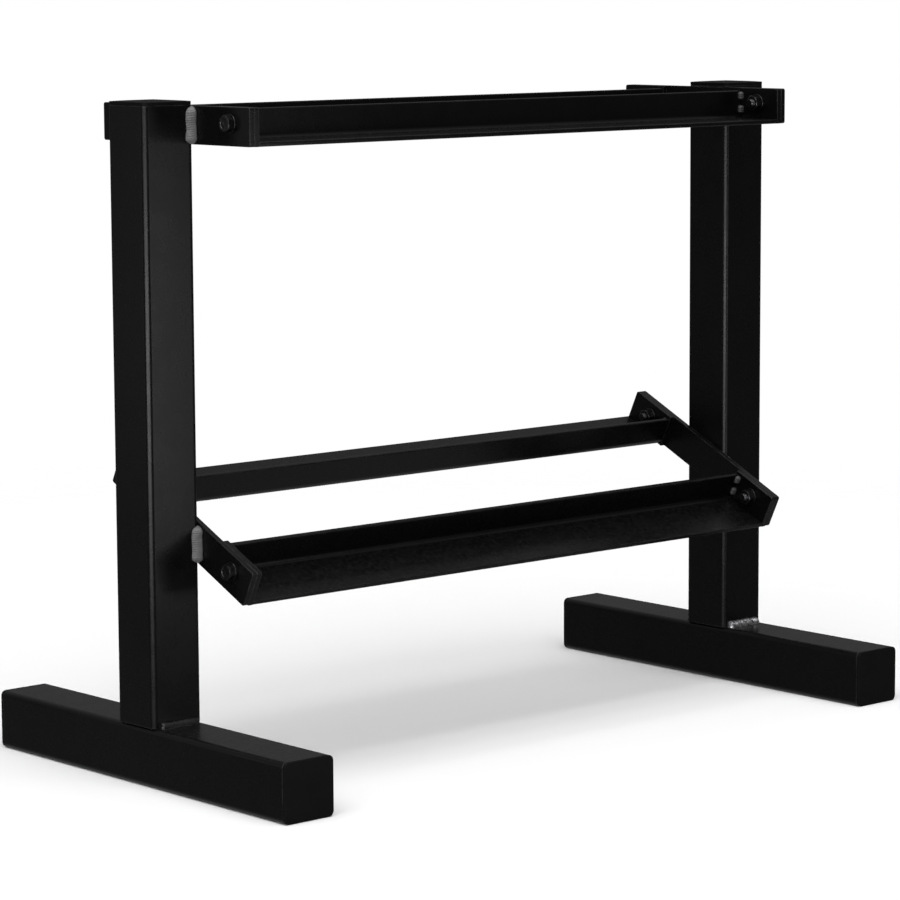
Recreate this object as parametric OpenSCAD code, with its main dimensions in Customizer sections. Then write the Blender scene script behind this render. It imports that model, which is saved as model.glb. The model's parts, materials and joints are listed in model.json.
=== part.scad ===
// Two-tier dumbbell rack: two welded end frames of square tube, joined by four bolt-on L rails.
// X runs along the rails, Y from front to back, Z up. The origin is on the floor, under the middle.

/* [End frames] */
// Outside width of the square tube of the feet and uprights
tube_w = 50.8; // [45:0.1:60]
// Wall thickness of the square tube
tube_wall = 2; // [1.5:0.1:3]
// Outside corner radius of the square tube
tube_r = 5; // [3:0.5:7]
// Length of each foot, end caps included
foot_len = 400; // [330:1:600]
// Length of the upright tubes that stand on the feet
upright_h = 518; // [420:1:800]
// Thickness of the crown of a tube cap
cap_t = 4; // [3:0.5:6]
// Radius of the shallow crown on a tube cap
cap_dome_r = 260; // [150:10:600]
// Depth that a cap's skirt reaches into its tube
cap_skirt = 16; // [8:1:30]

/* [Brackets] */
// Length of the flat bars that carry the rails
bar_len = 200; // [190:1:260]
// Height of the flat bars
bar_w = 32; // [28:1:40]
// Thickness of the flat bars
bar_t = 5; // [4:0.5:8]
// Corner radius of the flat bars, and of the end plates cut from them
bar_r = 2; // [1:0.5:4]
// Distance from the upright's top edge down to the upper bars
bar_drop = 1; // [0:0.5:20]
// Height of the middle of the lower bars above the floor
low_z = 214; // [180:0.5:300]
// Slope of the lower tier, down towards the front
low_tilt = 25.5; // [15:0.5:30]

/* [Rails] */
// Length of each L rail without its end plates
rail_len = 610; // [500:1:1000]
// Width of a rail's flat
flat_w = 50.8; // [40:0.1:60]
// Height of a rail's lip, measured from the underside of the flat
lip_h = 29.5; // [24:0.5:36]
// Sheet thickness of the rails
sheet_t = 4; // [3:0.5:5]
// Inside radius of the bend between flat and lip
bend_r = 4; // [1:0.5:5]
// Thickness of the end plates
plate_t = 5; // [3:0.5:8]

/* [Fasteners] */
// Shank diameter of the bolts
bolt_d = 8; // [6:1:10]
// Diameter of the bolt holes
hole_d = 9; // [8.5:0.5:11]
// Distance from a bar's end to its bolt
bolt_inset = 25.4; // [20:0.1:30]
// Height of the bolts above the middle line of the bars
bolt_rise = 2.5; // [-3:0.5:3]
// Width across the flats of the bolt heads and nuts
hex_af = 13; // [10:0.5:17]
// Height of a bolt head
head_h = 5.3; // [4:0.1:7]
// Height of a nut
nut_h = 6.5; // [5:0.1:8]
// Outside diameter of the washers
washer_d = 16; // [14:0.5:20]
// Thickness of the washers
washer_t = 1.6; // [1:0.1:2]
// Length of thread that stands out of a nut
thread_out = 3; // [1:0.5:6]

/* [Welds] */
// Leg of the beads between foot and upright
foot_bead = 6; // [4:0.5:8]
// Leg of the beads between upright and bracket
bar_bead = 5; // [3:0.5:6]
// Leg of the short beads between a rail's lip and its end plates
rail_bead = 4; // [2.5:0.5:5]
// Length of each of those beads
rail_bead_len = 8; // [5:1:9]

/* [Hidden] */
SIDES = [-1, 1];
FIT = 0.2;                                     // clearance between a skirt and its tube
SKIRT_WALL = 2.5;
RIM = 1;                                       // bare edge above a rail's upper bead
rail_span = rail_len + 2 * plate_t;            // between the inner faces of the brackets
inner_x = rail_span / 2 + bar_t;               // inner face of an upright
frame_x = inner_x + tube_w / 2;                // middle plane of an end frame
foot_tube = foot_len - 2 * cap_t;
upright_top = tube_w + upright_h;
high_z = upright_top - bar_drop - bar_w / 2;   // middle of the upper bars
bolt_y = bar_len / 2 - bolt_inset;
stack_t = bar_t + plate_t + washer_t;          // bracket's outer face to the nut
lip_y = bar_len / 2 - flat_w;                  // back of a front rail's lip, from the tier's middle
seat_y = lip_y + sheet_t;                      // face of the lip on the seat's side

$fn = 48;

// ---- outlines ----

// Square of side w with corners of radius r, centred on the origin
module soft_square(w, r) {
    square([w, w - 2 * r], center = true);
    square([w - 2 * r, w], center = true);
    for (x = SIDES, y = SIDES) translate([x * (w / 2 - r), y * (w / 2 - r)]) circle(r);
}

// Quarter disc in the first quadrant
module quarter(r) {
    intersection() {
        circle(r);
        square(r);
    }
}

// L section of a rail, from the outer edge of its flat at y = 0 to the back of its lip
module rail_section() {
    outer_r = bend_r + sheet_t;
    square([flat_w - outer_r, sheet_t]);
    translate([flat_w - sheet_t, outer_r]) square([sheet_t, lip_h - outer_r]);
    translate([flat_w - outer_r, outer_r]) mirror([0, 1]) difference() {
        quarter(outer_r);
        circle(bend_r);
    }
}

// ---- frame pieces ----

// Square tube from z = 0 up
module tube(length) {
    linear_extrude(length) difference() {
        soft_square(tube_w, tube_r);
        soft_square(tube_w - 2 * tube_wall, tube_r - tube_wall);
    }
}

// What its child has in common with itself turned by 90 degrees
module four_sided() {
    intersection() {
        children();
        rotate(90) children();
    }
}

// Plug for a tube whose mouth is at z = 0: a domed crown above it and a hollow skirt below
module cap() {
    skirt_w = tube_w - 2 * tube_wall - 2 * FIT;
    intersection() {
        linear_extrude(cap_t) soft_square(tube_w, tube_r);
        four_sided() translate([0, 0, cap_t - cap_dome_r]) rotate([90, 0, 0])
            cylinder(h = 2 * tube_w, r = cap_dome_r, center = true, $fn = 720);
    }
    translate([0, 0, -cap_skirt]) linear_extrude(cap_skirt) difference() {
        square(skirt_w, center = true);
        square(skirt_w - 2 * SKIRT_WALL, center = true);
    }
}

// side is -1 on the left and 1 on the right
module foot(side) {
    translate([side * frame_x, foot_tube / 2, tube_w / 2]) rotate([90, 0, 0]) tube(foot_tube);
}

// end is -1 at the front and 1 at the rear
module foot_cap(side, end) {
    translate([side * frame_x, end * foot_tube / 2, tube_w / 2]) rotate([-end * 90, 0, 0]) cap();
}

module upright(side) {
    translate([side * frame_x, 0, tube_w]) tube(upright_h);
}

module upright_cap(side) {
    translate([side * frame_x, 0, upright_top]) cap();
}

// ---- tiers: each is drawn about the middle of its brackets ----

module tier(name) {
    if (name == "upper") translate([0, 0, high_z]) children();
    if (name == "lower") translate([0, 0, low_z]) rotate([low_tilt, 0, 0]) children();
}

// Turns a front rail's piece round to the rear (end = 1)
module row_at(end) {
    rotate(end < 0 ? 0 : 180) children();
}

// Moves to the outer face of the bracket on one side, with z pointing out of the rack
module on_bracket(side) {
    translate([side * inner_x, 0, 0]) rotate([0, side * 90, 0]) children();
}

module bracket(side) {
    inset = 2 * bar_r;
    on_bracket(side) difference() {
        translate([0, 0, -bar_t]) linear_extrude(bar_t) {
            square([bar_w, bar_len - inset], center = true);
            square([bar_w - inset, bar_len], center = true);
            for (x = SIDES, y = SIDES)
                translate([x * (bar_w / 2 - bar_r), y * (bar_len / 2 - bar_r)]) circle(bar_r);
        }
        for (end = SIDES)
            translate([-side * bolt_rise, end * bolt_y, -bar_t - 1]) cylinder(h = bar_t + 2, d = hole_d);
    }
}

// Front rail: the flat reaches forward from the foot of the lip
module rail(end) {
    row_at(end) translate([-rail_len / 2, -bar_len / 2, -bar_w / 2])
        rotate([90, 0, 90]) linear_extrude(rail_len) rail_section();
}

// Plate across a front rail's end, against the bracket
module end_plate(side, end) {
    row_at(end) translate([-end * side * (rail_len / 2 + plate_t / 2), -bar_len / 2, -bar_w / 2])
        rotate([90, 0, 90]) translate([0, 0, -plate_t / 2]) difference() {
            linear_extrude(plate_t) {
                square([flat_w, bar_w - bar_r]);
                translate([bar_r, 0]) square([flat_w - bar_r, bar_w]);
                translate([bar_r, bar_w - bar_r]) circle(bar_r);
            }
            translate([bolt_inset, bar_w / 2 + bolt_rise, -1]) cylinder(h = plate_t + 2, d = hole_d);
        }
}

// ---- weld beads ----

// Beads across the foot in front of and behind the upright
module foot_welds(side) {
    bead_w = tube_w - 2 * tube_r;
    for (turn = [0, 180])
        translate([side * frame_x, 0, tube_w]) rotate(turn)
            translate([-bead_w / 2, tube_w / 2, 0]) rotate([90, 0, 90])
                linear_extrude(bead_w) quarter(foot_bead);
}

// Beads that fill the grooves between a bracket and the upright's rounded edges
module bracket_welds(side, tilt) {
    reach = tube_r + bar_bead;
    slope = tan(tilt);
    z_mid = tilt > 0 ? low_z : high_z;
    for (end = SIDES)
        translate([side * inner_x, 0, z_mid + end * slope * tube_w / 2 - bar_w / 2])
            linear_extrude(bar_w) difference() {
                scale([side, end]) translate([0, tube_w / 2 - tube_r]) quarter(reach);
                translate([side * tube_w / 2, 0]) soft_square(tube_w, tube_r);
            }
}

// Two short upright beads at each end of a front rail, where its lip meets the end plate
module rail_welds(end) {
    low = sheet_t + bend_r;
    high = lip_h - RIM - rail_bead_len;
    row_at(end) for (side = SIDES, z = [low, high])
        translate([side * rail_len / 2, -seat_y, z - bar_w / 2]) scale([-side, -1, 1])
            linear_extrude(rail_bead_len) quarter(rail_bead);
}

// ---- fasteners ----

// Runs its children at the four bolts of a tier, with z = 0 on the bracket's outer face
module at_bolts() {
    for (side = SIDES, end = SIDES)
        on_bracket(side) translate([-side * bolt_rise, end * bolt_y, 0]) children();
}

// Hexagonal prism from z = 0 up, with both rims turned down
module hex_body(h) {
    corner_r = hex_af / 2 / cos(30);
    trim = corner_r - hex_af / 2;
    rim = trim * tan(30);
    intersection() {
        cylinder(h = h, r = corner_r, $fn = 6);
        rotate_extrude() polygon([[0, 0], [corner_r - trim, 0], [corner_r, rim],
            [corner_r, h - rim], [corner_r - trim, h], [0, h]]);
    }
}

module bolt() {
    shank_l = washer_t + stack_t + nut_h + thread_out;
    translate([0, 0, washer_t]) hex_body(head_h);
    translate([0, 0, washer_t - shank_l]) cylinder(h = shank_l, d = bolt_d);
}

module washer() {
    difference() {
        cylinder(h = washer_t, d = washer_d);
        translate([0, 0, -1]) cylinder(h = washer_t + 2, d = bolt_d + 2 * FIT);
    }
}

module nut() {
    translate([0, 0, -stack_t - nut_h]) difference() {
        hex_body(nut_h);
        translate([0, 0, -1]) cylinder(h = nut_h + 2, d = bolt_d + FIT);
    }
}

module bolts(name) { color("dimgray") tier(name) at_bolts() bolt(); }
module nuts(name) { color("dimgray") tier(name) at_bolts() nut(); }
module washers(name) {
    color("gray") tier(name) at_bolts() {
        washer();
        translate([0, 0, -stack_t]) washer();
    }
}

module coat() { color([0.09, 0.09, 0.1]) children(); }
module plastic() { color([0.05, 0.05, 0.05]) children(); }

// ---- the nodes ----

coat() foot(-1);  // left_foot
coat() foot(1);  // right_foot
coat() upright(-1);  // left_upright
coat() upright(1);  // right_upright
plastic() upright_cap(-1);  // left_upright_cap
plastic() upright_cap(1);  // right_upright_cap
plastic() foot_cap(-1, -1);  // left_foot_front_cap
plastic() foot_cap(-1, 1);  // left_foot_rear_cap
plastic() foot_cap(1, -1);  // right_foot_front_cap
plastic() foot_cap(1, 1);  // right_foot_rear_cap
coat() tier("upper") bracket(-1);  // upper_left_bracket
coat() tier("upper") bracket(1);  // upper_right_bracket
coat() tier("lower") bracket(-1);  // lower_left_bracket
coat() tier("lower") bracket(1);  // lower_right_bracket
coat() tier("upper") rail(-1);  // upper_front_rail
coat() tier("upper") rail(1);  // upper_rear_rail
coat() tier("lower") rail(-1);  // lower_front_rail
coat() tier("lower") rail(1);  // lower_rear_rail
coat() tier("upper") end_plate(-1, -1);  // upper_front_left_plate
coat() tier("upper") end_plate(1, -1);  // upper_front_right_plate
coat() tier("upper") end_plate(-1, 1);  // upper_rear_left_plate
coat() tier("upper") end_plate(1, 1);  // upper_rear_right_plate
coat() tier("lower") end_plate(-1, -1);  // lower_front_left_plate
coat() tier("lower") end_plate(1, -1);  // lower_front_right_plate
coat() tier("lower") end_plate(-1, 1);  // lower_rear_left_plate
coat() tier("lower") end_plate(1, 1);  // lower_rear_right_plate
coat() foot_welds(-1);  // left_foot_welds
coat() foot_welds(1);  // right_foot_welds
coat() bracket_welds(-1, 0);  // upper_left_bracket_welds
coat() bracket_welds(1, 0);  // upper_right_bracket_welds
coat() bracket_welds(-1, low_tilt);  // lower_left_bracket_welds
coat() bracket_welds(1, low_tilt);  // lower_right_bracket_welds
coat() tier("upper") rail_welds(-1);  // upper_front_rail_welds
coat() tier("upper") rail_welds(1);  // upper_rear_rail_welds
coat() tier("lower") rail_welds(-1);  // lower_front_rail_welds
coat() tier("lower") rail_welds(1);  // lower_rear_rail_welds
bolts("upper");  // upper_bolts
bolts("lower");  // lower_bolts
washers("upper");  // upper_washers
washers("lower");  // lower_washers
nuts("upper");  // upper_nuts
nuts("lower");  // lower_nuts
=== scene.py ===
"""Looks, light and camera for the two-tier dumbbell rack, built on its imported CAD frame.

Metres, X along the rails, Y from front to back, Z up. The CAD's bars, rails, plates, tubes, plugs and
washers stay and get rounded edges; the weld beads, bolts and nuts are modelled here in full.
"""
import json
import math
import random

import bpy
from mathutils import Matrix, Vector, noise


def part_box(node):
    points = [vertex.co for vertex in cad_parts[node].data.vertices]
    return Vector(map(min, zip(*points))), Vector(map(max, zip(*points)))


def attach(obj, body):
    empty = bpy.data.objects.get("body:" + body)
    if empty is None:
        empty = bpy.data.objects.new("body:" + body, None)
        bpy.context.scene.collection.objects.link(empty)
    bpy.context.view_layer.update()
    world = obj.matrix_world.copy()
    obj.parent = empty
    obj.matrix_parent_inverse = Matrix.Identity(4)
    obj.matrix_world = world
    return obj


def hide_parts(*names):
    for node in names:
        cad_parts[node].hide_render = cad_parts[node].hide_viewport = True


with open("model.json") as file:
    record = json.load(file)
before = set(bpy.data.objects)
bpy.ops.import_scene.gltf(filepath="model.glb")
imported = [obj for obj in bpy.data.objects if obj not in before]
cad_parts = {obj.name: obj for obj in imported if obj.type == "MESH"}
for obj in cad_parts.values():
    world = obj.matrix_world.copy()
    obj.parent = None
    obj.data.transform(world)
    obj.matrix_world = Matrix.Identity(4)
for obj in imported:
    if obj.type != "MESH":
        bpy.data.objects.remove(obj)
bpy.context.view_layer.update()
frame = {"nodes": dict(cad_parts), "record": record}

SIDES = {"left": -1, "right": 1}
ROWS = {"front": -1, "rear": 1}
ENDS = tuple(ROWS.values())
TIERS = ("upper", "lower")

# ---- sizes that the CAD also uses ----

TUBE_W = 0.0508
TUBE_R = 0.005
FOOT_BEAD = 0.006
BAR_BEAD = 0.005
RAIL_BEAD = 0.004
RAIL_BEAD_LEN = 0.008
BAR_T = 0.005
BOLT_INSET = 0.0254
BOLT_RISE = 0.0025
BOLT_R = 0.004
PITCH = 0.00125
HEX_AF = 0.013
HEAD_H = 0.0053
NUT_H = 0.0065
WASHER_T = 0.0016
THREAD_OUT = 0.003
STACK_T = 2 * BAR_T + WASHER_T  # from a bracket's outer face to the nut

# ---- camera ----

VIEW_AZIMUTH = math.radians(-41.46)
VIEW_ELEVATION = math.radians(7.64)
VIEW_ROLL = math.radians(-0.29)
VIEW_DISTANCE = 3.177
VIEW_AIM = Vector((-0.007, 0.006, 0.250))
LENS_MM = 141.3

# ---- sizes and strengths of the studio ----

FLOOR_SOLID = 0.8  # how far from the origin the floor is solid
FLOOR_END = 1.8  # and where it has faded into the backdrop
FLOOR_GAP = 0.0003  # between the floor and the feet
KEY_ENERGY = 2.9
KEY_ANGLE = math.radians(80)
KEY_PLACE = (-1.2, -1.6, 3.6)
LIGHTS_AIM = (0, 0, 0.3)
DOME_HORIZON = 0.085  # brightness of the dome level with the object
DOME_ZENITH = 0.42
BACKDROP = 1.0

# ---- materials ----

COAT_GLOSS = 0.22  # specular level of the paint
EDGE_REACH = 0.0014  # how far from an edge the painted highlight reaches
DUST = (0.11, 0.105, 0.1, 1.0)
# Colour of the painted highlight on tight edges
EDGE_HIGHLIGHT_TONE = (0.035, 0.035, 0.036, 1.0)


def add_node(tree, kind, settings=None, **inputs):
    """Adds a shader node. Inputs are values or other nodes' sockets; _ in a name stands for a space."""
    node = tree.nodes.new("ShaderNode" + kind)
    for key, value in (settings or {}).items():
        setattr(node, key, value)
    for key, value in inputs.items():
        socket = node.inputs[key.replace("_", " ")]
        if isinstance(value, bpy.types.NodeSocket):
            tree.links.new(value, socket)
        else:
            socket.default_value = value
    return node


def new_surface(name):
    """An empty material with its output and its object coordinates."""
    material = bpy.data.materials.new(name)
    material.use_nodes = True
    tree = material.node_tree
    tree.nodes.clear()
    coords = add_node(tree, "TexCoord").outputs["Object"]
    return material, tree, coords


def finish_surface(tree, **inputs):
    """Joins a principled shader with those inputs to the output."""
    shader = add_node(tree, "BsdfPrincipled", **inputs)
    output = add_node(tree, "OutputMaterial")
    tree.links.new(shader.outputs["BSDF"], output.inputs["Surface"])


def noise_of(tree, coords, scale, detail=2.0):
    """Fractal noise from 0 to 1, with about scale cells to each unit of coords."""
    return add_node(tree, "TexNoise", Vector=coords, Scale=scale, Detail=detail).outputs["Fac"]


def ramp(tree, value, low, high, out_low, out_high):
    """Maps value from low..high to out_low..out_high, clamped."""
    return add_node(
        tree, "MapRange", Value=value, From_Min=low, From_Max=high, To_Min=out_low, To_Max=out_high
    ).outputs["Result"]


def blend_colour(tree, factor, first, second):
    """Mix of two colours, each a tuple or a socket."""
    node = add_node(tree, "Mix", {"data_type": "RGBA"})
    for socket, value in ((node.inputs[0], factor), (node.inputs[6], first), (node.inputs[7], second)):
        if isinstance(value, bpy.types.NodeSocket):
            tree.links.new(value, socket)
        else:
            socket.default_value = value
    return node.outputs[2]


def combine(tree, operation, first, second):
    """Result of a Math operation on two sockets."""
    node = add_node(tree, "Math", {"operation": operation})
    for socket, value in zip(node.inputs, (first, second)):
        tree.links.new(value, socket)
    return node.outputs["Value"]


def bumps(tree, layers):
    """A chain of bumps from (height, strength, distance) layers."""
    normal = None
    for height, strength, distance in layers:
        node = add_node(tree, "Bump", Height=height, Strength=strength, Distance=distance)
        if normal is not None:
            tree.links.new(normal, node.inputs["Normal"])
        normal = node.outputs["Normal"]
    return normal


def painted_edge_highlight(tree, coords):
    """Painted edge highlight: 1 on a tight edge, broken up along it, and 0 elsewhere."""
    rounded = add_node(tree, "Bevel", {"samples": 4}, Radius=EDGE_REACH).outputs["Normal"]
    normal = add_node(tree, "NewGeometry").outputs["Normal"]
    match = add_node(tree, "VectorMath", {"operation": "DOT_PRODUCT"})
    tree.links.new(rounded, match.inputs[0])
    tree.links.new(normal, match.inputs[1])
    edge = ramp(tree, match.outputs["Value"], 0.985, 0.90, 0.0, 1.0)
    breaks = ramp(tree, noise_of(tree, coords, 60.0, 4.0), 0.38, 0.58, 0.15, 1.0)
    return combine(tree, "MULTIPLY", edge, breaks)


def coat_material(name, dark, light, gloss, peel):
    """Powder coat: orange peel, cloudy gloss, a painted highlight on tight edges, faint rubs and dust on
    what faces up.
    """
    material, tree, coords = new_surface(name)
    clouds = noise_of(tree, coords, 7.0, 4.0)
    blotches = noise_of(tree, coords, 55.0, 3.0)
    orange_peel = noise_of(tree, coords, 520.0, 2.0)
    grit = noise_of(tree, coords, 2600.0, 1.0)
    along = add_node(tree, "Mapping", Vector=coords, Scale=(6.0, 260.0, 260.0)).outputs["Vector"]
    rubs = ramp(tree, noise_of(tree, along, 1.0, 3.0), 0.64, 0.78, 0.0, 1.0)
    facing = add_node(tree, "NewGeometry").outputs["Normal"]
    upward = ramp(tree, add_node(tree, "SeparateXYZ", Vector=facing).outputs["Z"], 0.6, 1.0, 0.0, 0.07)
    specks = ramp(tree, noise_of(tree, coords, 260.0, 5.0), 0.40, 0.80, 0.0, 1.0)
    dust = combine(tree, "MULTIPLY", upward, specks)
    colour = blend_colour(tree, clouds, dark, light)
    colour = blend_colour(tree, dust, colour, DUST)
    # Painted highlight: tight edges are lightened towards the edge highlight colour
    colour = blend_colour(tree, painted_edge_highlight(tree, coords), colour, EDGE_HIGHLIGHT_TONE)
    roughness = ramp(tree, blotches, 0.3, 0.7, gloss - 0.02, gloss + 0.03)
    roughness = combine(tree, "ADD", roughness, ramp(tree, rubs, 0.0, 1.0, 0.0, 0.03))
    normal = bumps(tree, [(orange_peel, peel, 0.00016), (grit, 0.10, 0.00003)])
    finish_surface(
        tree, Base_Color=colour, Roughness=roughness, Normal=normal, Specular_IOR_Level=COAT_GLOSS
    )
    return material


def painted_highlight_weld_material():
    """Silvery bead with dark oxide between its crests: a painted highlight standing in for glints on a
    coated bead.
    """
    material, tree, coords = new_surface("painted_highlight_weld")
    oxide = ramp(tree, noise_of(tree, coords, 420.0, 4.0), 0.40, 0.62, 0.0, 1.0)
    grain = noise_of(tree, coords, 1900.0, 3.0)
    colour = blend_colour(tree, oxide, (0.46, 0.46, 0.47, 1.0), (0.05, 0.05, 0.055, 1.0))
    roughness = ramp(tree, oxide, 0.0, 1.0, 0.26, 0.44)
    normal = bumps(tree, [(oxide, 0.35, 0.00012), (grain, 0.25, 0.00004)])
    finish_surface(tree, Base_Color=colour, Roughness=roughness, Normal=normal, Metallic=0.85)
    return material


def plug_material():
    """Moulded polyethylene plug: matt, with a fine spark-eroded grain."""
    material, tree, coords = new_surface("plug_plastic")
    grain = noise_of(tree, coords, 1700.0, 3.0)
    clouds = noise_of(tree, coords, 40.0, 3.0)
    colour = blend_colour(tree, clouds, (0.002, 0.002, 0.0021, 1.0), (0.0045, 0.0045, 0.0047, 1.0))
    roughness = ramp(tree, clouds, 0.3, 0.7, 0.50, 0.62)
    normal = bumps(tree, [(grain, 0.35, 0.00006)])
    finish_surface(tree, Base_Color=colour, Roughness=roughness, Normal=normal, Specular_IOR_Level=0.08)
    return material


def bolt_material():
    """Black-finished steel: fine streaks, cloudy tone and brighter worn spots."""
    material, tree, coords = new_surface("bolt_steel")
    streaks = add_node(tree, "Mapping", Vector=coords, Scale=(300.0, 2400.0, 2400.0)).outputs["Vector"]
    streaks = noise_of(tree, streaks, 1.0, 3.0)
    clouds = noise_of(tree, coords, 320.0, 4.0)
    worn = ramp(tree, noise_of(tree, coords, 900.0, 3.0), 0.56, 0.70, 0.0, 0.7)
    colour = blend_colour(tree, clouds, (0.022, 0.022, 0.024, 1.0), (0.055, 0.055, 0.058, 1.0))
    colour = blend_colour(tree, worn, colour, (0.20, 0.20, 0.195, 1.0))
    roughness = ramp(tree, streaks, 0.3, 0.7, 0.24, 0.40)
    normal = bumps(tree, [(streaks, 0.20, 0.00003), (clouds, 0.12, 0.00005)])
    finish_surface(tree, Base_Color=colour, Roughness=roughness, Normal=normal, Metallic=1.0)
    return material


def floor_material():
    """Pale floor that fades out with distance, as a studio cove does, and is clear from below."""
    material, tree, coords = new_surface("studio_floor")
    clouds = noise_of(tree, coords, 1.3, 3.0)
    tone = blend_colour(tree, clouds, (0.84, 0.84, 0.84, 1.0), (0.87, 0.87, 0.87, 1.0))
    far = add_node(tree, "VectorMath", {"operation": "LENGTH"}, Vector=coords).outputs["Value"]
    fade = ramp(tree, far, FLOOR_SOLID, FLOOR_END, 1.0, 0.0)
    above = ramp(tree, add_node(tree, "NewGeometry").outputs["Backfacing"], 0.0, 1.0, 1.0, 0.0)
    solid = combine(tree, "MULTIPLY", fade, above)
    finish_surface(tree, Base_Color=tone, Roughness=0.9, Specular_IOR_Level=0.1, Alpha=solid)
    return material


# The weld coats are lighter than the frame's coat, lightest on the bracket beads beside the uprights: a
# painted highlight standing in for glints on the beads
MATERIALS = {
    "powder_coat": coat_material(
        "powder_coat", (0.0011, 0.0011, 0.0012, 1.0), (0.0026, 0.0026, 0.0028, 1.0), 0.27, 0.20
    ),
    "weld_coat": coat_material(
        "weld_coat", (0.070, 0.070, 0.0715, 1.0), (0.185, 0.185, 0.188, 1.0), 0.24, 0.32
    ),
    "rail_weld_highlight_coat": coat_material(
        "rail_weld_highlight_coat", (0.030, 0.030, 0.0305, 1.0), (0.080, 0.080, 0.081, 1.0), 0.24, 0.32
    ),
    "painted_highlight_weld": painted_highlight_weld_material(),
    "plug_plastic": plug_material(),
    "bolt_steel": bolt_material(),
}


# ---- CAD nodes that stay ----

MERGE_DISTANCE = 0.00001
FLAT_ANGLE = math.radians(0.4)  # faces within it are one flat face
SHARP_ANGLE = math.radians(40)  # edges beyond it are rounded
EDGE_SEGMENTS = 3
SHADING_WEIGHT = 90

# How far each kind of CAD node's edges are rounded, by the last word of its name
EDGE_ROUNDING = {
    "foot": 0.0004,
    "upright": 0.0004,
    "cap": 0.0006,
    "bracket": 0.0015,
    "rail": 0.0010,
    "plate": 0.0014,
    "washers": 0.0003,
}
SLOT_OF = {"cap": "plug_plastic", "washers": "bolt_steel"}  # the other kinds are powder_coat


def merge_and_smooth():
    """Geometry nodes that join a mesh's split corners and shade it smooth, ready for its bevel."""
    group = bpy.data.node_groups.new("merge_and_smooth", "GeometryNodeTree")
    for direction in ("INPUT", "OUTPUT"):
        group.interface.new_socket("Geometry", in_out=direction, socket_type="NodeSocketGeometry")
    chain = [
        group.nodes.new(kind)
        for kind in (
            "NodeGroupInput",
            "GeometryNodeMergeByDistance",
            "GeometryNodeRemoveAttribute",
            "GeometryNodeSetShadeSmooth",
            "NodeGroupOutput",
        )
    ]
    chain[1].inputs["Distance"].default_value = MERGE_DISTANCE
    chain[2].inputs["Name"].default_value = "custom_normal"
    for first, second in zip(chain, chain[1:]):
        group.links.new(first.outputs[0], second.inputs[0])
    return group


def round_edges(obj, group, width):
    """Breaks the sharp edges of a CAD node by width, as coating and deburring do."""
    merge = obj.modifiers.new("merge", "NODES")
    merge.node_group = group
    flatten = obj.modifiers.new("flatten", "DECIMATE")
    flatten.decimate_type = "DISSOLVE"
    flatten.angle_limit = FLAT_ANGLE
    bevel = obj.modifiers.new("edges", "BEVEL")
    bevel.width = width
    bevel.segments = EDGE_SEGMENTS
    bevel.limit_method = "ANGLE"
    bevel.angle_limit = SHARP_ANGLE
    obj.modifiers.new("shading", "WEIGHTED_NORMAL").weight = SHADING_WEIGHT


def dress_cad_nodes():
    """Gives each CAD node that stays its material and its rounded edges."""
    group = merge_and_smooth()
    for name, obj in frame["nodes"].items():
        kind = name.split("_")[-1]
        if kind in EDGE_ROUNDING:
            obj.data.materials.clear()
            obj.data.materials.append(MATERIALS[SLOT_OF.get(kind, "powder_coat")])
            round_edges(obj, group, EDGE_ROUNDING[kind])


# ---- meshes built from rings of points ----


class Shape:
    """Vertices and faces of one piece, gathered from closed lofts."""

    def __init__(self):
        self.verts = []
        self.faces = []

    def loft(self, rings, place=Matrix.Identity(4)):
        """Skins a list of equal rings and closes both ends."""
        start = len(self.verts)
        count = len(rings[0])
        self.verts += [place @ Vector(point) for ring in rings for point in ring]
        for row in range(len(rings) - 1):
            for i in range(count):
                j = (i + 1) % count
                base = start + row * count
                self.faces.append((base + i, base + j, base + count + j, base + count + i))
        self.faces.append(tuple(start + i for i in reversed(range(count))))
        self.faces.append(tuple(start + (len(rings) - 1) * count + i for i in range(count)))

    def piece(self, name, slot, node, material=None):
        """Makes the object, which stands for that CAD node."""
        mesh = bpy.data.meshes.new(name)
        mesh.from_pydata(self.verts, [], self.faces)
        mesh.update()
        mesh.materials.append(MATERIALS[material or slot])
        obj = bpy.data.objects.new(name, mesh)
        bpy.context.scene.collection.objects.link(obj)
        mesh.shade_smooth()
        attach(obj, "root")
        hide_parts(node)
        return obj


# ---- tiers ----


def tilt_of(tier):
    """How far a tier is turned down to the front, from the slope of its seats."""
    seat = next(m for m in frame["record"]["mounts"] if m["name"] == f"{tier}_front_seat")
    return math.atan2(-seat["axis"][1], seat["axis"][2])


def tier_place(tier):
    """Matrix of a tier's own frame, whose origin is the middle of its brackets."""
    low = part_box(f"{tier}_left_bracket")[0]
    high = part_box(f"{tier}_right_bracket")[1]
    return Matrix.Translation((low + high) / 2) @ Matrix.Rotation(tilt_of(tier), 4, "X")


# ---- weld beads ----

RIPPLE = 0.0019  # distance between the crescents of a bead
RIPPLE_BOW = 0.0011  # how far a crescent's middle runs ahead of its ends
RIPPLE_DEPTH = 0.00034
CROWN = 0.0002  # how far the middle of a bead stands proud
ROWS_PER_RIPPLE = 8
MIN_ROWS = 10
BEAD_STEPS = 14  # across a bead
WANDER_SCALE = 190  # of the noise that bends the crescents
LUMP_SCALE = 75  # of the noise that makes a bead thicker and thinner
END_REACH = 0.55  # part of the leg over which a bead's ends are rounded
INSET = 0.0004  # how far a bead's hidden side reaches into the steel
# The right foot's beads are silvery, a painted highlight standing in for glints on their coat, and the left
# foot's take the frame's dark coat
FOOT_BEAD_FINISH_AND_HIGHLIGHT = {"left": "powder_coat", "right": "painted_highlight_weld"}


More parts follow.
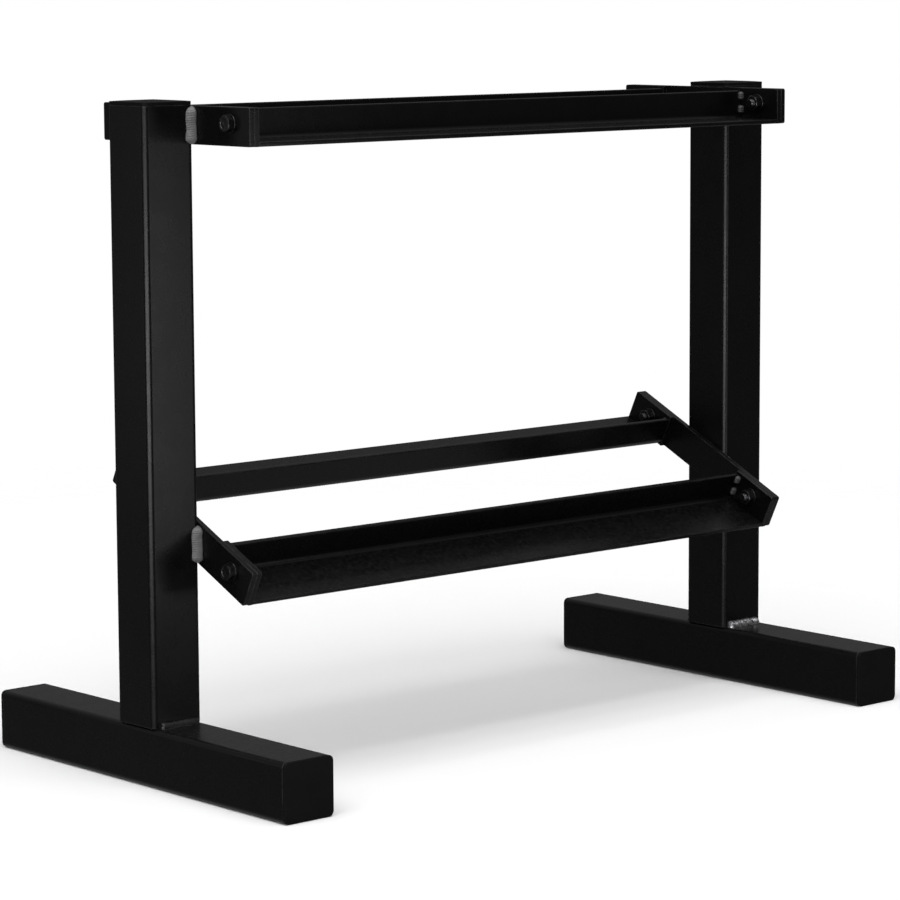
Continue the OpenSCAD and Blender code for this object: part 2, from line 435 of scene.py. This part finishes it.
def bead_radius(place, turn, s, leg, fade, seed):
    """Distance of a bead's surface from its root, at part turn of the way round and s along it."""
    crown = 1 - (2 * turn - 1) ** 2
    wander = noise.noise(place * WANDER_SCALE + Vector((seed, turn * 0.9, 0)))
    lump = noise.noise(place * LUMP_SCALE + Vector((0, seed, turn * 0.5)))
    phase = (s + RIPPLE_BOW * crown) / RIPPLE + 0.35 * wander
    ripple = abs(math.sin(math.pi * phase)) ** 0.7 - 0.6
    r = leg * (0.92 + 0.05 * wander + 0.11 * lump) + crown * (RIPPLE_DEPTH * ripple + CROWN)
    return r * (0.18 + 0.82 * fade)


def bead(shape, root, along, length, leg, first, second, inner, seed):
    """A rippled bead that fills the corner between the directions first and second, from root.

    inner is the hidden part of its section, as (first, second) distances from the root, back from the
    second wall to the first.
    """
    rings = []
    rows = max(MIN_ROWS, round(length / RIPPLE * ROWS_PER_RIPPLE))
    for row in range(rows + 1):
        s = length * row / rows
        place = root + along * s
        to_end = min(1.0, min(s, length - s) / (END_REACH * leg))
        fade = math.sqrt(max(0.0, 1 - (1 - to_end) ** 2))
        ring = []
        for step in range(BEAD_STEPS + 1):
            turn = step / BEAD_STEPS
            r = bead_radius(place, turn, s, leg, fade, seed)
            angle = turn * math.pi / 2
            ring.append(place + (first * math.cos(angle) + second * math.sin(angle)) * r)
        shrink = 0.3 + 0.7 * fade
        ring += [place + (first * a + second * b) * shrink for a, b in inner]
        rings.append(ring)
    shape.loft(rings)


def low_side(low, high):
    """Distance from the middle plane to the nearer side of a box."""
    return min(abs(low.x), abs(high.x))


def foot_welds():
    """Beads across each foot, in front of and behind its upright."""
    inner = [(-INSET, FOOT_BEAD), (-INSET, -INSET), (FOOT_BEAD, -INSET)]
    for name in SIDES:
        low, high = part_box(f"{name}_foot_welds")
        shape = Shape()
        for end in ENDS:
            root = Vector((low.x, end * TUBE_W / 2, low.z))
            out, up = Vector((0, end, 0)), Vector((0, 0, 1))
            bead(shape, root, Vector((1, 0, 0)), high.x - low.x, FOOT_BEAD, out, up, inner, 3.1 * end)
        # The right foot's silvery beads are a painted highlight
        shape.piece(f"{name}_foot_beads", "weld_coat", f"{name}_foot_welds", FOOT_BEAD_FINISH_AND_HIGHLIGHT[name])


def bracket_welds(tier):
    """Beads in the grooves between the brackets and the rounded edges of the uprights."""
    reach = TUBE_R + BAR_BEAD
    arc_r = TUBE_R - INSET
    inner = [(arc_r, 0.8 * reach)]
    for step in range(6):
        angle = math.radians(90 * step / 5)
        inner.append((arc_r * math.cos(angle), TUBE_R - arc_r * math.sin(angle)))
    rise = math.tan(tilt_of(tier)) * TUBE_W / 2
    for name, side in SIDES.items():
        low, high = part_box(f"{tier}_{name}_bracket_welds")
        length = high.z - low.z - 2 * rise
        shape = Shape()
        for end in ENDS:
            start_z = (low.z + high.z - length) / 2 + end * rise
            root = Vector((side * low_side(low, high), end * (TUBE_W / 2 - TUBE_R), start_z))
            back, out = Vector((0, end, 0)), Vector((side, 0, 0))
            bead(shape, root, Vector((0, 0, 1)), length, reach, back, out, inner, 7.3 * side + end)
        # The bracket beads take the lighter weld coat, a painted highlight
        shape.piece(f"{tier}_{name}_bracket_beads", "weld_coat", f"{tier}_{name}_bracket_welds")


def rail_welds(tier, row):
    """Short lumpy beads between a rail's lip and its end plates."""
    end = ROWS[row]
    place = tier_place(tier)
    # The level upper tier gives the heights and the distance from the middle for both tiers
    low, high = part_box(f"upper_{row}_rail_welds")
    middle = tier_place("upper").translation.z
    seat_y = min(abs(low.y), abs(high.y))
    inner = [(-INSET, RAIL_BEAD), (-INSET, -INSET), (RAIL_BEAD, -INSET)]
    shape = Shape()
    for side in SIDES.values():
        for start in (low.z - middle, high.z - middle - RAIL_BEAD_LEN):
            root = place @ Vector((side * high.x, end * seat_y, start))
            along = place.to_3x3() @ Vector((0, 0, 1))
            out = place.to_3x3() @ Vector((0, end, 0))
            inward = Vector((-side, 0, 0))
            seed = 5.7 * side + 90 * start + end
            bead(shape, root, along, RAIL_BEAD_LEN, RAIL_BEAD, out, inward, inner, seed)
    # The rail beads take their own lighter coat, a painted highlight
    shape.piece(f"{tier}_{row}_rail_beads", "weld_coat", f"{tier}_{row}_rail_welds", "rail_weld_highlight_coat")


# ---- bolts and nuts ----

TURN_STEPS = 72
TURNS = [2 * math.pi * step / TURN_STEPS for step in range(TURN_STEPS)]
THREAD_ROWS = 40
THREAD_DEPTH = 0.61 * PITCH
TIP_CHAMFER = 0.0009
CHAMFER_R = HEX_AF / 2 * 0.95  # where a hexagon's chamfer meets its face


def round_ring(radius, z):
    """A circle of points at that height."""
    return [(radius * math.cos(a), radius * math.sin(a), z) for a in TURNS]


def hex_radius(angle):
    """Distance to a hexagon's edge, with its corners slightly turned down."""
    straight = HEX_AF / 2 / math.cos((angle + math.pi / 6) % (math.pi / 3) - math.pi / 6)
    return min(straight, HEX_AF / 2 * 1.135)


def hex_rings(bottom, top, chamfer_bottom):
    """Wall of a hexagon, with a 30 degree chamfer round its top and, if asked, round its bottom."""
    drop = {a: (hex_radius(a) - CHAMFER_R) * math.tan(math.pi / 6) for a in TURNS}

    def ring(z, sign):
        return [
            (hex_radius(a) * math.cos(a), hex_radius(a) * math.sin(a), z - sign * drop[a]) for a in TURNS
        ]

    rings = [round_ring(CHAMFER_R, bottom)]
    rings.append(ring(bottom, -1) if chamfer_bottom else ring(bottom + 0.0001, 0))
    rings.append(ring(top, 1))
    rings.append(round_ring(CHAMFER_R, top))
    return rings


def bolt_head(shape, place):
    """Hexagon head with the shallow dish that forging leaves in its top."""
    top = WASHER_T + HEAD_H
    rings = hex_rings(WASHER_T, top, False)
    rings.append(round_ring(HEX_AF * 0.36, top))
    rings.append(round_ring(HEX_AF * 0.33, top - 0.00035))
    rings.append(round_ring(HEX_AF * 0.05, top - 0.00045))
    shape.loft(rings, place)


def thread_radius(angle, z):
    """Radius of a rolled thread whose helix passes z at that angle."""
    tooth = 1 - abs(2 * ((z / PITCH + angle / (2 * math.pi)) % 1) - 1)
    return BOLT_R - THREAD_DEPTH * (1 - min(1.0, max(0.0, (tooth - 0.12) / 0.76)))


def bolt_shank(shape, place):
    """Plain shank, then the thread inside the nut and out to a chamfered tip."""
    tip = -(STACK_T + NUT_H + THREAD_OUT)
    thread_start = -(STACK_T + NUT_H * 0.8)
    rings = [round_ring(BOLT_R, WASHER_T), round_ring(BOLT_R, thread_start)]
    for row in range(1, THREAD_ROWS + 1):
        z = thread_start + (tip - thread_start) * row / THREAD_ROWS
        limit = BOLT_R - max(0.0, TIP_CHAMFER - (z - tip))
        radii = [(a, min(limit, thread_radius(a, z))) for a in TURNS]
        rings.append([(r * math.cos(a), r * math.sin(a), z) for a, r in radii])
    shape.loft(list(reversed(rings)), place)


def nut_body(shape, place):
    """Hexagon nut with both rims chamfered and its bore countersunk."""
    outer = -STACK_T
    inner = outer - NUT_H
    rings = [round_ring(BOLT_R * 0.98, inner + 0.0006), round_ring(BOLT_R * 1.17, inner)]
    rings += hex_rings(inner, outer, True)
    shape.loft(rings, place)


def fasteners(tier):
    """Bolts through the brackets from outside and their nuts inside, each turned its own way."""
    place = tier_place(tier)
    low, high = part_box("upper_right_bracket")
    chance = random.Random(len(tier) + ord(tier[0]))
    bolts, nuts = Shape(), Shape()
    for side in SIDES.values():
        for end in ENDS:
            spot = Vector((side * high.x, end * (high.y - BOLT_INSET), BOLT_RISE))
            outward = place @ Matrix.Translation(spot) @ Matrix.Rotation(side * math.pi / 2, 4, "Y")
            bolt_place = outward @ Matrix.Rotation(chance.uniform(0, math.pi), 4, "Z")
            bolt_head(bolts, bolt_place)
            bolt_shank(bolts, bolt_place)
            nut_body(nuts, outward @ Matrix.Rotation(chance.uniform(0, math.pi), 4, "Z"))
    for shape, kind in ((bolts, "bolts"), (nuts, "nuts")):
        made = shape.piece(f"{tier}_hex_{kind}", "bolt_steel", f"{tier}_{kind}")
        made.data.set_sharp_from_angle(angle=math.radians(28))


# ---- studio ----


def studio_floor():
    """Pale floor just under the feet."""
    mesh = bpy.data.meshes.new("studio_floor")
    corners = [(x * FLOOR_END, y * FLOOR_END, -FLOOR_GAP) for x, y in ((-1, -1), (1, -1), (1, 1), (-1, 1))]
    mesh.from_pydata(corners, [], [(0, 1, 2, 3)])
    mesh.materials.append(floor_material())
    floor = bpy.data.objects.new("studio_floor", mesh)
    bpy.context.scene.collection.objects.link(floor)
    floor.visible_glossy = False


def aim_at(obj, place, target):
    """Puts a light at place, shining at target."""
    obj.location = place
    obj.rotation_mode = "QUATERNION"
    obj.rotation_quaternion = (target - place).to_track_quat("-Z", "Y")


def softbox(name, place, target, size, glow, gloss_only=False):
    """A flat light of that glow. One that is gloss_only shapes the reflections and lights nothing else."""
    width, height = size
    light = bpy.data.lights.new(name, "AREA")
    light.shape = "RECTANGLE"
    light.size = width
    light.size_y = height
    light.energy = glow * math.pi * width * height
    lamp = bpy.data.objects.new(name, light)
    bpy.context.scene.collection.objects.link(lamp)
    aim_at(lamp, Vector(place), Vector(target))
    lamp.visible_camera = False
    lamp.visible_diffuse = not gloss_only


def studio_lights():
    """A soft main light from above and softboxes overhead, beside the viewer, to the right and behind."""
    sun = bpy.data.lights.new("soft_key", "SUN")
    sun.energy = KEY_ENERGY
    sun.angle = KEY_ANGLE
    lamp = bpy.data.objects.new("soft_key", sun)
    bpy.context.scene.collection.objects.link(lamp)
    aim_at(lamp, Vector(KEY_PLACE), Vector(LIGHTS_AIM))
    softbox("overhead_softbox", (-0.3, -0.4, 2.6), LIGHTS_AIM, (2.0, 2.0), glow=1.2)
    softbox("low_softbox", (-1.80, -1.10, 0.16), LIGHTS_AIM, (2.2, 0.30), glow=10.5, gloss_only=True)
    softbox("viewer_softbox", (-1.75, -1.15, 1.10), LIGHTS_AIM, (1.6, 1.2), glow=0.8, gloss_only=True)
    softbox("right_softbox", (0.18, -0.92, 0.26), (-0.34, 0, 0.35), (0.20, 0.50), glow=3.3, gloss_only=True)
    softbox("rear_softbox", (-1.45, 1.02, 0.36), (-0.36, 0, 0.4), (0.40, 0.60), glow=0.45, gloss_only=True)


def studio_world():
    """Dome for the reflections, dimmest at the horizon, with a pale backdrop behind the object."""
    world = bpy.data.worlds.new("studio_world")
    world.use_nodes = True
    tree = world.node_tree
    tree.nodes.clear()
    height = add_node(tree, "SeparateXYZ", Vector=add_node(tree, "TexCoord").outputs["Generated"])
    steepness = add_node(tree, "Math", {"operation": "ABSOLUTE"})
    tree.links.new(height.outputs["Z"], steepness.inputs[0])
    glow = ramp(tree, steepness.outputs[0], 0.05, 1.0, DOME_HORIZON, DOME_ZENITH)
    dome = add_node(tree, "Background", Color=(1.0, 1.0, 1.0, 1.0), Strength=glow)
    backdrop = add_node(tree, "Background", Color=(1.0, 1.0, 1.0, 1.0), Strength=BACKDROP)
    seen = add_node(tree, "LightPath").outputs["Is Camera Ray"]
    mix = add_node(tree, "MixShader", Fac=seen)
    tree.links.new(dome.outputs[0], mix.inputs[1])
    tree.links.new(backdrop.outputs[0], mix.inputs[2])
    output = add_node(tree, "OutputWorld")
    tree.links.new(mix.outputs[0], output.inputs["Surface"])
    bpy.context.scene.world = world


def add_camera():
    """Camera at the viewing azimuth, elevation and roll, aimed at the middle of the rack."""
    level = math.cos(VIEW_ELEVATION)
    back = Vector(
        (math.sin(VIEW_AZIMUTH) * level, -math.cos(VIEW_AZIMUTH) * level, math.sin(VIEW_ELEVATION))
    )
    right = Vector((math.cos(VIEW_AZIMUTH), math.sin(VIEW_AZIMUTH), 0))
    up = back.cross(right)
    axes = Matrix((right, up, back)).transposed().to_4x4()
    data = bpy.data.cameras.new("camera")
    data.lens = LENS_MM
    data.clip_end = 200.0
    camera = bpy.data.objects.new("camera", data)
    place = Matrix.Translation(VIEW_AIM + back * VIEW_DISTANCE)
    camera.matrix_world = place @ axes @ Matrix.Rotation(VIEW_ROLL, 4, "Z")
    bpy.context.scene.collection.objects.link(camera)
    bpy.context.scene.camera = camera


dress_cad_nodes()
foot_welds()
for tier in TIERS:
    bracket_welds(tier)
    fasteners(tier)
    for row in ROWS:
        rail_welds(tier, row)
studio_floor()
studio_lights()
studio_world()
add_camera()
bpy.context.scene.view_settings.view_transform = "Standard"
